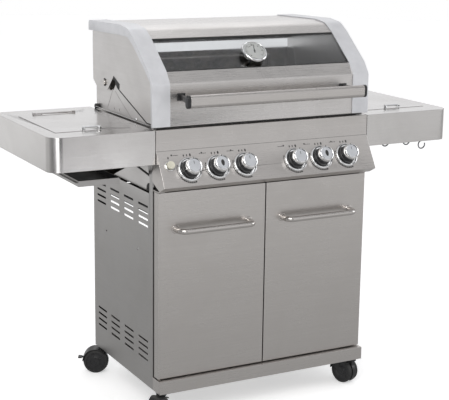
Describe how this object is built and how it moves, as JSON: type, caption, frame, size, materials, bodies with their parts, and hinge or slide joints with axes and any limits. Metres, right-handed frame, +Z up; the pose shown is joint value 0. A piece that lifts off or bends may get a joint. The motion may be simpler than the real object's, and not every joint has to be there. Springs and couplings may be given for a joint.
{
  "type": "gas barbecue grill",
  "caption": "Free-standing gas barbecue on a two-door castor cabinet, with a glazed roll-back lid, sloping knob panel, side shelves and a side burner.",
  "frame": {"origin": "on the ground, centred under the grill's overall width and depth", "axes": "+Z up, +X to the right as the cook sees it, +Y towards the back"},
  "size_m": [1.287, 0.5614, 1.1013],
  "materials": {
    "steel": "brushed stainless steel",
    "side_steel": "plain rolled steel sheet",
    "cast_alloy": "silver-painted die casting",
    "handle_steel": "finely brushed tube",
    "chrome": "bright plating",
    "knob": "satin plating",
    "button": "gloss",
    "black_plastic": "moulded, satin",
    "rubber": "matt",
    "dark_paint": "powder coat",
    "black_paint": "powder coat",
    "cast_iron": "seasoned",
    "brass": "plain",
    "glass": "tinted tempered glass"
  },
  "bodies": {
    "cart": {"side_panels": "side_steel", "rear_frame": "dark_paint", "back_panel": "dark_paint", "cabinet_floor": "side_steel", "base_bar": "steel", "header_rail": "side_steel", "firebox": "side_steel", "firebox_sides": "steel", "rear_burner": "side_steel", "main_burners": "cast_iron", "flame_tamers": "side_steel", "cooking_grates": "cast_iron", "warming_rack": "chrome", "gas_manifold": "brass", "control_panel": "steel", "knob_bezels": "chrome", "shelf_left": "steel", "shelf_right": "steel", "shelf_brackets": "black_paint", "side_burner": "steel", "side_burner_grate": "cast_iron", "condiment_pan": "steel", "tool_hooks": "chrome", "hinge_bolts": "chrome", "lid_bumpers": "rubber", "castor_plates": "dark_paint"},
    "lid": {"lid_front_panel": "steel", "lid_top_panel": "steel", "lid_sides": "steel", "lid_caps": "cast_alloy", "lid_glass": "glass", "glass_gasket": "rubber", "thermometer": "chrome", "lid_handle": "handle_steel", "handle_brackets": "black_plastic"},
    "door_left": {"door_left": "steel", "door_handle_left": "handle_steel"},
    "door_right": {"door_right": "steel", "door_handle_right": "handle_steel"},
    "knob_1": {"knob_1": "knob"},
    "knob_2": {"knob_2": "knob"},
    "knob_3": {"knob_3": "knob"},
    "knob_4": {"knob_4": "knob"},
    "knob_5": {"knob_5": "knob"},
    "knob_6": {"knob_6": "knob"},
    "ignition_button": {"ignition_button": "button"},
    "side_burner_lid": {"side_burner_lid": "steel"},
    "condiment_lid": {"condiment_lid": "steel"},
    "grease_tray": {"grease_tray": "side_steel"},
    "drip_tray": {"drip_tray": "steel"},
    "castor_fl": {"castor_fork_fl": "black_plastic"},
    "wheels_fl": {"castor_wheels_fl": "rubber"},
    "castor_fr": {"castor_fork_fr": "black_plastic"},
    "wheels_fr": {"castor_wheels_fr": "rubber"},
    "castor_rl": {"castor_fork_rl": "black_plastic"},
    "wheels_rl": {"castor_wheels_rl": "rubber"},
    "brake_rl": {"brake_pedal_rl": "black_plastic"},
    "castor_rr": {"castor_fork_rr": "black_plastic"},
    "wheels_rr": {"castor_wheels_rr": "rubber"},
    "brake_rr": {"brake_pedal_rr": "black_plastic"}
  },
  "joints": [
    {"name": "lid_hinge", "type": "hinge", "parent": "cart", "child": "lid", "pos_m": [0, 0.16431, 0.922], "axis": [-1, 0, 0], "range_deg": [0, 68]},
    {"name": "door_left_hinge", "type": "hinge", "parent": "cart", "child": "door_left", "pos_m": [-0.33, -0.19769, 0.395], "axis": [0, 0, -1], "range_deg": [0, 110]},
    {"name": "door_right_hinge", "type": "hinge", "parent": "cart", "child": "door_right", "pos_m": [0.33, -0.19769, 0.395], "axis": [0, 0, 1], "range_deg": [0, 110]},
    {"name": "knob_1_turn", "type": "hinge", "parent": "cart", "child": "knob_1", "pos_m": [-0.254, -0.23056, 0.72828], "axis": [0, -0.8572, 0.515], "range_deg": [0, 135]},
    {"name": "knob_2_turn", "type": "hinge", "parent": "cart", "child": "knob_2", "pos_m": [-0.168, -0.23056, 0.72828], "axis": [0, -0.8572, 0.515], "range_deg": [0, 135]},
    {"name": "knob_3_turn", "type": "hinge", "parent": "cart", "child": "knob_3", "pos_m": [-0.082, -0.23056, 0.72828], "axis": [0, -0.8572, 0.515], "range_deg": [0, 135]},
    {"name": "knob_4_turn", "type": "hinge", "parent": "cart", "child": "knob_4", "pos_m": [0.082, -0.23056, 0.72828], "axis": [0, -0.8572, 0.515], "range_deg": [0, 135]},
    {"name": "knob_5_turn", "type": "hinge", "parent": "cart", "child": "knob_5", "pos_m": [0.168, -0.23056, 0.72828], "axis": [0, -0.8572, 0.515], "range_deg": [0, 135]},
    {"name": "knob_6_turn", "type": "hinge", "parent": "cart", "child": "knob_6", "pos_m": [0.254, -0.23056, 0.72828], "axis": [0, -0.8572, 0.515], "range_deg": [0, 135]},
    {"name": "ignition_press", "type": "slide", "parent": "cart", "child": "ignition_button", "axis": [0, 0.8572, -0.515], "range_m": [0, 0.004], "stiffness_N_per_m": 400, "springref_m": -0.003},
    {"name": "side_burner_lid_hinge", "type": "hinge", "parent": "cart", "child": "side_burner_lid", "pos_m": [-0.492, 0.17631, 0.8395], "axis": [-1, 0, 0], "range_deg": [0, 100]},
    {"name": "condiment_lid_hinge", "type": "hinge", "parent": "cart", "child": "condiment_lid", "pos_m": [0.492, 0.17631, 0.8395], "axis": [-1, 0, 0], "range_deg": [0, 100]},
    {"name": "grease_tray_slide", "type": "slide", "parent": "cart", "child": "grease_tray", "axis": [0, 1, 0], "range_m": [0, 0.3]},
    {"name": "drip_tray_slide", "type": "slide", "parent": "cart", "child": "drip_tray", "axis": [0, -1, 0], "range_m": [0, 0.22]},
    {"name": "castor_fl_swivel", "type": "hinge", "parent": "cart", "child": "castor_fl", "pos_m": [-0.322, -0.19569, 0.08], "axis": [0, 0, 1], "continuous": true},
    {"name": "wheels_fl_roll", "type": "hinge", "parent": "castor_fl", "child": "wheels_fl", "pos_m": [-0.33897, -0.21266, 0.037], "axis": [-0.7071, 0.7071, 0], "continuous": true},
    {"name": "castor_fr_swivel", "type": "hinge", "parent": "cart", "child": "castor_fr", "pos_m": [0.322, -0.19569, 0.08], "axis": [0, 0, 1], "continuous": true},
    {"name": "wheels_fr_roll", "type": "hinge", "parent": "castor_fr", "child": "wheels_fr", "pos_m": [0.31498, -0.17274, 0.037], "axis": [0.9563, 0.2924, 0], "continuous": true},
    {"name": "castor_rl_swivel", "type": "hinge", "parent": "cart", "child": "castor_rl", "pos_m": [-0.322, 0.23031, 0.08], "axis": [0, 0, 1], "continuous": true},
    {"name": "wheels_rl_roll", "type": "hinge", "parent": "castor_rl", "child": "wheels_rl", "pos_m": [-0.34319, 0.24158, 0.037], "axis": [0.4695, 0.8829, 0], "continuous": true},
    {"name": "brake_rl_tread", "type": "hinge", "parent": "castor_rl", "child": "brake_rl", "pos_m": [-0.36703, 0.25425, 0.0465], "axis": [-0.4695, -0.8829, 0], "range_deg": [0, 14]},
    {"name": "castor_rr_swivel", "type": "hinge", "parent": "cart", "child": "castor_rr", "pos_m": [0.322, 0.23031, 0.08], "axis": [0, 0, 1], "continuous": true},
    {"name": "wheels_rr_roll", "type": "hinge", "parent": "castor_rr", "child": "wheels_rr", "pos_m": [0.34319, 0.24158, 0.037], "axis": [0.4695, -0.8829, 0], "continuous": true},
    {"name": "brake_rr_tread", "type": "hinge", "parent": "castor_rr", "child": "brake_rr", "pos_m": [0.36703, 0.25425, 0.0465], "axis": [-0.4695, 0.8829, 0], "range_deg": [0, 14]}
  ]
}
